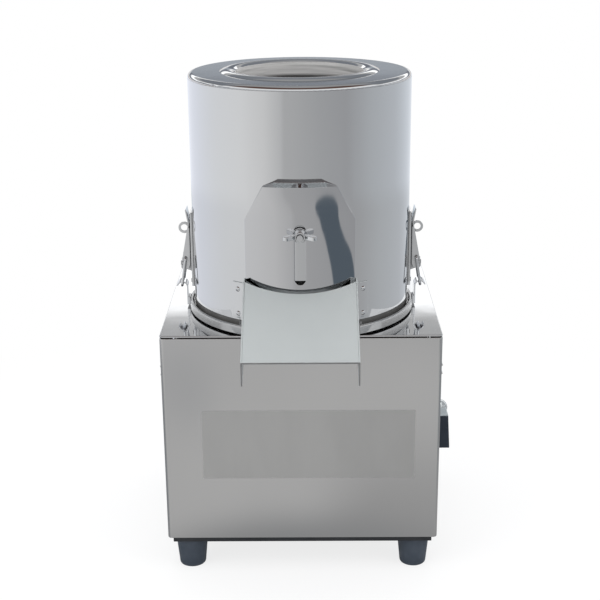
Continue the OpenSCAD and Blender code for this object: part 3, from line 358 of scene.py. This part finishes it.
def softened(node, width):
    """A copy of a node with its edges rounded, which stands for it."""
    shape = bmesh.new()
    shape.from_mesh(nodes[node].data)
    bmesh.ops.remove_doubles(shape, verts=shape.verts, dist=WELD)
    bmesh.ops.dissolve_limit(shape, angle_limit=FLAT, verts=shape.verts, edges=shape.edges)
    sharp = [edge for edge in shape.edges if edge.is_manifold and edge.calc_face_angle() > CREASE]
    bmesh.ops.bevel(shape, geom=sharp, offset=width, offset_type="OFFSET", segments=2, profile=0.5,
        affect="EDGES", clamp_overlap=False)
    piece = make_piece(node + "_finish", shape, finish_of(node), body_of[node],
        OTHER_FACES.get(node, ()))
    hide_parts(node)
    return piece


def make_piece(name, shape, material, body, others=()):
    """Turns a bmesh into a piece that rides on a body. others are (test, finish) pairs for some of its
    faces, the last of which counts."""
    mesh = bpy.data.meshes.new(name)
    mesh.materials.append(material)
    for number, (test, finish) in enumerate(others, start=1):
        mesh.materials.append(finishes[finish])
        for face in shape.faces:
            if test(face):
                face.material_index = number
    shape.to_mesh(mesh)
    shape.free()
    mesh.shade_smooth()
    mesh.set_sharp_from_angle(angle=SMOOTH)
    piece = bpy.data.objects.new(name, mesh)
    bpy.context.scene.collection.objects.link(piece)
    evened = piece.modifiers.new("even_normals", "WEIGHTED_NORMAL")
    evened.keep_sharp = True
    evened.weight = 100
    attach(piece, body)
    return piece


def dress_nodes():
    """Gives every node its finish, and the ones that show softened edges."""
    for node, thing in nodes.items():
        thing.data.materials.clear()
        thing.data.materials.append(finish_of(node))
    for node, width in EDGE.items():
        softened(node, width * MM)


# Bare label film on the front panel

FILM_X = (-100.7 * MM, 114.7 * MM)
FILM_Z = (108.2 * MM, 183.0 * MM)
FILM_T = 0.25 * MM
FILM_WRINKLE = 0.08 * MM
FILM_COLUMNS = 60
FILM_ROWS = 20
WRINKLES_X = 30
WRINKLES_Z = 8


def make_film():
    """A thin, slightly wrinkled film, stuck to the front panel."""
    front_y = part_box("front_panel")[0].y
    shape = bmesh.new()
    rows = []
    for row in range(FILM_ROWS + 1):
        z = FILM_Z[0] + (FILM_Z[1] - FILM_Z[0]) * row / FILM_ROWS
        rows.append([])
        for column in range(FILM_COLUMNS + 1):
            x = FILM_X[0] + (FILM_X[1] - FILM_X[0]) * column / FILM_COLUMNS
            lift = FILM_WRINKLE * noise.noise(Vector((x * WRINKLES_X, 0, z * WRINKLES_Z)))
            rows[-1].append(shape.verts.new((x, front_y - FILM_T + min(lift, 0.0), z)))
    for row in range(FILM_ROWS):
        for column in range(FILM_COLUMNS):
            shape.faces.new((rows[row][column], rows[row][column + 1], rows[row + 1][column + 1],
                rows[row + 1][column]))
    skirt = bmesh.ops.extrude_edge_only(shape, edges=[edge for edge in shape.edges if edge.is_boundary])
    for vertex in skirt["geom"]:
        if isinstance(vertex, bmesh.types.BMVert):
            vertex.co.y = front_y
    bmesh.ops.recalc_face_normals(shape, faces=shape.faces)
    material = surface("label_film", ((0.485, 0.485, 0.48), (0.515, 0.515, 0.51)), (0.3, 0.42), (25, 25, 8),
        [((60, 60, 8), 0.00006)], 0.85, Specular_IOR_Level=0.5)
    make_piece("label_film", shape, material, "base")


# Studio

FLOOR_R = 60.0
FALL = 0.2
PATCH_STARTS = 0.75 * FALL
PATCH_FULL = 1.35 * FALL
GATE_PATCH = ((0.45, 1.72, 0.2, 0.1), (0.5, 1.58, 0.16, 0.14), (0.59, 1.43, 0.14, 0.14),
    (0.69, 1.3, 0.17, 0.14), (0.76, 1.16, 0.19, 0.16), (0.79, 1.02, 0.19, 0.16))
PANEL_PATCH = ((-0.27, 0.72, 0.07, 0.1), (-0.29, 0.6, 0.05, 0.1))
FLOOR_COLOUR = (0.9, 0.91, 0.93, 1.0)
WHITE = (1.0, 1.0, 1.0, 1.0)
BRIGHT = 1.5
PALE_BLUE = (0.39, 0.42, 0.46)
DIM_BLUE = (0.195, 0.21, 0.24)
WARM = (0.36, 0.24, 0.18)
HIGH_BLUE = (0.24, 0.255, 0.28)
UMBER = (0.13, 0.075, 0.06)
OVERHEAD = (0.40, 0.40, 0.40)
SOFT_LIGHT = 0.55
# Where the sky turns from its middle to its sides, and from before the object to behind it
SIDES_X = (0.06, 0.09)
BEHIND_Y = (-0.05, 0.05)
# What metal mirrors of the floor: by direction, as a share of a full turn that starts at the back
FLOOR_ROUND = (
    (0.0, (0.60, 0.68, 0.74)), (0.045, (0.96, 0.99, 1.08)), (0.14, (0.95, 0.975, 1.05)),
    (0.24, (0.905, 0.915, 0.93)), (0.33, (0.88, 0.88, 0.88)), (0.40, (0.79, 0.785, 0.78)),
    (0.445, (0.64, 0.64, 0.64)), (0.458, (0.55, 0.55, 0.55)), (0.55, (0.475, 0.48, 0.485)),
    (0.63, (0.43, 0.435, 0.445)), (0.71, (0.53, 0.55, 0.57)), (0.81, (0.61, 0.635, 0.67)),
    (0.88, (0.74, 0.78, 0.83)), (0.96, (0.86, 0.9, 0.96)), (1.0, (0.60, 0.68, 0.74)))
# Distances on the floor in metres, each from where a change starts to where it is full
CLOSER_D = (1.9, 1.6)
DRUM_D = (0.8, 0.92)
RIGHT_D = (0.6, 0.2)
NEAR_SHADOW_D = (0.27, 0.17)
LIT_D = (0.15, 0.7)
# Turns on the floor in radians, likewise
ASIDE_TURN = (0.75, 1.1)
RIGHT_TURN = (-0.05, 0.35)
CLOSER_SWING = -0.2
CLOSER_SHARE = 0.2
LIT_LOW = 0.8
CLOSER_GREY = (0.48, 0.48, 0.48, 1.0)
GATE_PATCH_COLOUR = (0.125, 0.155, 0.185, 1.0)
PANEL_PATCH_COLOUR = (0.45, 0.46, 0.475, 1.0)
AHEAD_GREY = (0.60, 0.598, 0.594, 1.0)
ASIDE_GREY = (0.30, 0.315, 0.33, 1.0)
RIGHT_GREY = (0.42, 0.42, 0.42, 1.0)
# Painted shadow of the object on the floor close by, as metal mirrors it
NEAR_SHADOW_GREY = (0.34, 0.345, 0.35, 1.0)


def rays(tree):
    """Light Path outputs as (camera or transmission, glossy)."""
    path = add(tree, "LightPath").outputs
    seen = math_node(tree, "MAXIMUM", path["Is Camera Ray"], path["Is Transmission Ray"])
    return seen, path["Is Glossy Ray"]


def make_world():
    """White behind the object, with the bands and the soft light overhead that metal mirrors."""
    world = bpy.data.worlds.new("studio")
    bpy.context.scene.world = world
    world.use_nodes = True
    tree = world.node_tree
    tree.nodes.clear()
    seen, mirrored = rays(tree)
    towards = add(tree, "SeparateXYZ", {0: add(tree, "TexCoord").outputs["Generated"]}).outputs
    above = math_node(tree, "MAXIMUM", towards["Z"], 0.0)
    middle, sides = [ramp(tree, above, [(0.0, WARM), (0.015, WARM), (0.035, 0.95), (0.09, 0.95),
        (0.115, PALE_BLUE), (0.13, PALE_BLUE), (0.142, DIM_BLUE), (0.19, DIM_BLUE), (0.235, level),
        (0.316, level), (0.323, 0.5), (0.42, 0.5), (0.46, HIGH_BLUE), (0.72, HIGH_BLUE), (0.85, OVERHEAD)])
        for level in (DIM_BLUE, BRIGHT)]
    aside = window(tree, math_node(tree, "ABSOLUTE", towards["X"]), *SIDES_X)
    behind = blended(tree, aside, middle, sides)
    before = ramp(tree, above, [(0.0, 0.9), (0.05, DIM_BLUE), (0.15, DIM_BLUE), (0.22, 1.0), (0.5, 1.0),
        (0.64, UMBER), (0.88, UMBER), (0.98, OVERHEAD)])
    shown = blended(tree, window(tree, towards["Y"], *BEHIND_Y), before, behind)
    soft = add(tree, "Background", {"Color": WHITE, "Strength": SOFT_LIGHT})
    mirror = add(tree, "Background", {"Color": shown, "Strength": 1.0})
    white = add(tree, "Background", {"Color": WHITE, "Strength": 1.0})
    first = add(tree, "MixShader", {0: mirrored, 1: soft.outputs[0], 2: mirror.outputs[0]})
    second = add(tree, "MixShader", {0: seen, 1: first.outputs[0], 2: white.outputs[0]})
    out = add(tree, "OutputWorld")
    tree.links.new(second.outputs[0], out.inputs["Surface"])


def patch(tree, turn, distance, ovals):
    """1 on a patch of the floor and 0 outside it, with a soft edge. The patch is a run of ovals that flow
    into each other, each as (turn, distance, reach in turn, reach in distance)."""
    total = 0.0
    for oval_turn, oval_distance, turn_reach, distance_reach in ovals:
        across = math_node(tree, "DIVIDE", math_node(tree, "SUBTRACT", turn, oval_turn), turn_reach)
        along = math_node(tree, "DIVIDE", math_node(tree, "SUBTRACT", distance, oval_distance),
            distance_reach)
        spread = math_node(tree, "ADD", math_node(tree, "MULTIPLY", across, across),
            math_node(tree, "MULTIPLY", along, along))
        total = math_node(tree, "ADD", math_node(tree, "POWER", FALL, spread), total)
    return window(tree, total, PATCH_STARTS, PATCH_FULL)


def floor_material():
    """A white floor with a faint shadow. Metal mirrors it dimmer: far away by direction, as the drum shows
    it, and close by as the base shows it."""
    material = bpy.data.materials.new("floor")
    material.use_nodes = True
    tree = material.node_tree
    tree.nodes.clear()
    seen, mirrored = rays(tree)
    turn, distance, _ = polar(tree)
    close = window(tree, distance, *CLOSER_D)
    swung = math_node(tree, "MULTIPLY_ADD", close, CLOSER_SWING, turn)
    share = add(tree, "MapRange", {"Value": swung, "From Min": -math.pi, "From Max": math.pi}).outputs[0]
    far = ramp(tree, share, FLOOR_ROUND)
    far = blended(tree, math_node(tree, "MULTIPLY", close, CLOSER_SHARE), far, CLOSER_GREY)
    # Dim patches that show on the gate's right and on the front panel's left
    gate_patch = patch(tree, turn, distance, GATE_PATCH)
    patched = blended(tree, gate_patch, far, GATE_PATCH_COLOUR)
    sideways = math_node(tree, "ABSOLUTE", turn)
    ahead = blended(tree, window(tree, sideways, *ASIDE_TURN), AHEAD_GREY, ASIDE_GREY)
    panel_patch = patch(tree, turn, distance, PANEL_PATCH)
    ahead = blended(tree, panel_patch, ahead, PANEL_PATCH_COLOUR)
    rightward = math_node(tree, "MULTIPLY", window(tree, turn, *RIGHT_TURN),
        window(tree, distance, *RIGHT_D))
    ahead = blended(tree, rightward, ahead, RIGHT_GREY)
    # Painted shadow of the object on the floor close by, seen only in reflections
    near = blended(tree, window(tree, distance, *NEAR_SHADOW_D), ahead, NEAR_SHADOW_GREY)
    shown = blended(tree, window(tree, distance, *DRUM_D), near, patched)
    glow = add(tree, "Emission", {"Color": shown, "Strength": 1.0})
    matt = add(tree, "BsdfDiffuse", {"Color": FLOOR_COLOUR})
    white = add(tree, "Emission", {"Color": WHITE, "Strength": 1.0})
    lit = add(tree, "MapRange", {"Value": distance, "From Min": LIT_D[0], "From Max": LIT_D[1],
        "To Min": LIT_LOW}).outputs[0]
    faded = math_node(tree, "MULTIPLY", lit, seen)
    plain = add(tree, "MixShader", {0: faded, 1: matt.outputs[0], 2: white.outputs[0]})
    full = add(tree, "MixShader", {0: mirrored, 1: plain.outputs[0], 2: glow.outputs[0]})
    out = add(tree, "OutputMaterial")
    tree.links.new(full.outputs[0], out.inputs["Surface"])
    return material


def make_floor():
    """A round floor at table level."""
    shape = bmesh.new()
    bmesh.ops.create_circle(shape, cap_ends=True, segments=64, radius=FLOOR_R)
    mesh = bpy.data.meshes.new("floor")
    shape.to_mesh(mesh)
    shape.free()
    mesh.materials.append(floor_material())
    floor = bpy.data.objects.new("floor", mesh)
    bpy.context.scene.collection.objects.link(floor)


LIGHTS = {
    "left_softbox": ((-1.5, -1.1, 1.5), 1.4, 22.0),
    "right_softbox": ((1.6, -0.9, 1.3), 1.2, 14.0),
    "overhead_softbox": ((0.0, 0.2, 2.1), 1.6, 26.0),
}
AIM = Vector((0.0, 0.0, 0.25))


def make_lights():
    """Three large softboxes, aimed at the object and left out of mirror images."""
    for name, (place, size, power) in LIGHTS.items():
        data = bpy.data.lights.new(name, "AREA")
        data.size = size
        data.energy = power
        lamp = bpy.data.objects.new(name, data)
        lamp.location = place
        lamp.rotation_euler = (AIM - Vector(place)).to_track_quat("-Z", "Y").to_euler()
        lamp.visible_glossy = False
        bpy.context.scene.collection.objects.link(lamp)


make_camera()
dress_nodes()
make_film()
make_world()
make_floor()
make_lights()

bpy.context.scene.view_settings.view_transform = "Standard"
